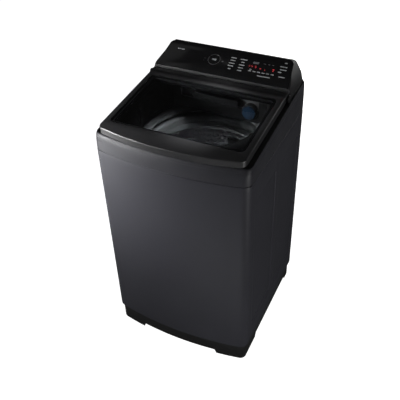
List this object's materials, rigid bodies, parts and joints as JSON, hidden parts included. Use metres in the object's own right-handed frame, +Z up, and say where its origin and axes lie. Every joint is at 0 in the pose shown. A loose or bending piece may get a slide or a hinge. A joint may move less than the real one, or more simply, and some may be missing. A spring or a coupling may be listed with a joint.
{
  "type": "top load washing machine",
  "caption": "Free-standing top load washing machine with bowed charcoal cabinet, sloping glass lid, rear console, hung tub, drum, pulsator and direct drive.",
  "frame": {"origin": "on the floor, at the centre of the machine's overall box", "axes": "+X to the right as one faces the machine, -Y towards its front, +Z up"},
  "size_m": [0.54, 0.568, 1],
  "materials": {
    "cabinet_paint": "satin dark charcoal enamel on sheet steel",
    "cover_plastic": "satin charcoal moulded plastic",
    "black_plastic": "fine-grained black moulded plastic",
    "gloss_black": "polished black plastic",
    "grey_plastic": "grey moulded plastic",
    "light_plastic": "light grey moulded polypropylene",
    "zinc_steel": "galvanised sheet steel",
    "stainless": "rolled stainless steel",
    "cast_alloy": "as-cast aluminium alloy",
    "rubber_black": "black rubber",
    "lid_glass": "tinted tempered glass",
    "copper_wire": "enamelled copper windings",
    "trim_light": "translucent light grey trim",
    "blue_cap": "deep blue plastic",
    "circuit": "green circuit board lacquer"
  },
  "bodies": {
    "cabinet": {"cabinet_shell": "cabinet_paint", "rear_panel": "zinc_steel", "rear_service_cover": "zinc_steel", "base_frame": "black_plastic", "base_guard": "black_plastic", "corner_brackets": "zinc_steel", "suspension_rods": "stainless", "suspension_springs": "zinc_steel", "top_skirt": "cover_plastic", "top_deck": "black_plastic", "console_housing": "black_plastic", "console_rear_cover": "black_plastic", "control_fascia": "gloss_black", "power_ring": "trim_light", "display_module": "black_plastic", "control_board": "circuit", "board_case": "grey_plastic", "dispenser_housing": "grey_plastic", "lid_switch": "black_plastic", "hinge_brackets": "black_plastic", "hinge_pins": "stainless", "inlet_valve": "light_plastic", "inlet_hose": "rubber_black", "pressure_sensor": "light_plastic", "pressure_tube": "rubber_black", "drain_pump": "light_plastic", "drain_outlet": "black_plastic", "sump_bellows": "rubber_black", "cord_gland": "rubber_black", "panel_screws": "stainless", "rear_feet": "rubber_black"},
    "tub": {"outer_tub": "light_plastic", "tub_ring": "grey_plastic", "damper_cups": "black_plastic", "drive_bracket": "zinc_steel", "gearcase": "cast_alloy", "bearings": "stainless", "shaft_seal": "rubber_black", "stator": "copper_wire", "clutch_actuator": "black_plastic"},
    "drum": {"drum_basket": "stainless", "drum_flange": "cast_alloy", "balance_ring": "grey_plastic", "lint_filters": "light_plastic", "spin_shaft": "stainless"},
    "pulsator": {"pulsator": "grey_plastic", "pulsator_cap": "grey_plastic", "drive_shaft": "stainless", "rotor": "zinc_steel"},
    "clutch": {"clutch_coupling": "black_plastic"},
    "lid": {"lid_frame": "gloss_black", "lid_inner_frame": "black_plastic", "lid_glass": "lid_glass"},
    "plunger": {"lid_plunger": "light_plastic"},
    "button": {"power_button": "gloss_black"},
    "drawer": {"detergent_drawer": "grey_plastic"},
    "cap": {"softener_cap": "blue_cap"},
    "foot_left": {"foot_front_left": "rubber_black"},
    "foot_right": {"foot_front_right": "rubber_black"}
  },
  "joints": [
    {"name": "tub_bounce", "type": "slide", "parent": "cabinet", "child": "tub", "axis": [0, 0, 1], "range_m": [-0.02, 0.01], "stiffness_N_per_m": 8000, "springref_m": 0.033, "deforming": ["suspension_springs", "sump_bellows"]},
    {"name": "drum_spin", "type": "hinge", "parent": "tub", "child": "drum", "pos_m": [0, 0, 0.4], "axis": [0, 0, 1], "continuous": true},
    {"name": "pulsator_spin", "type": "hinge", "parent": "tub", "child": "pulsator", "pos_m": [0, 0, 0.3], "axis": [0, 0, 1], "continuous": true},
    {"name": "clutch_shift", "type": "slide", "parent": "drum", "child": "clutch", "axis": [0, 0, 1], "range_m": [0, 0.006]},
    {"name": "lid_hinge", "type": "hinge", "parent": "cabinet", "child": "lid", "pos_m": [0, 0.11319, 0.92493], "axis": [-1, 0, 0], "range_deg": [0, 95]},
    {"name": "lid_plunger_rise", "type": "slide", "parent": "cabinet", "child": "plunger", "axis": [0, -0.1011, 0.9949], "range_m": [0, 0.003]},
    {"name": "power_press", "type": "slide", "parent": "cabinet", "child": "button", "axis": [0, 0.4617, -0.887], "range_m": [0, 0.0015], "stiffness_N_per_m": 800},
    {"name": "drawer_slide", "type": "slide", "parent": "cabinet", "child": "drawer", "axis": [0, -1, 0], "range_m": [0, 0.07]},
    {"name": "softener_cap_turn", "type": "hinge", "parent": "cabinet", "child": "cap", "pos_m": [0.117, 0.11, 0.838], "axis": [0, -1, 0], "range_deg": [0, 90]},
    {"name": "foot_left_turn", "type": "hinge", "parent": "cabinet", "child": "foot_left", "pos_m": [-0.208, -0.2, 0.01], "axis": [0, 0, 1], "continuous": true},
    {"name": "foot_right_turn", "type": "hinge", "parent": "cabinet", "child": "foot_right", "pos_m": [0.208, -0.2, 0.01], "axis": [0, 0, 1], "continuous": true}
  ],
  "couplings": [
    {"joint": "lid_plunger_rise", "follows": "lid_hinge", "m_per_rad": 0.0018}
  ]
}
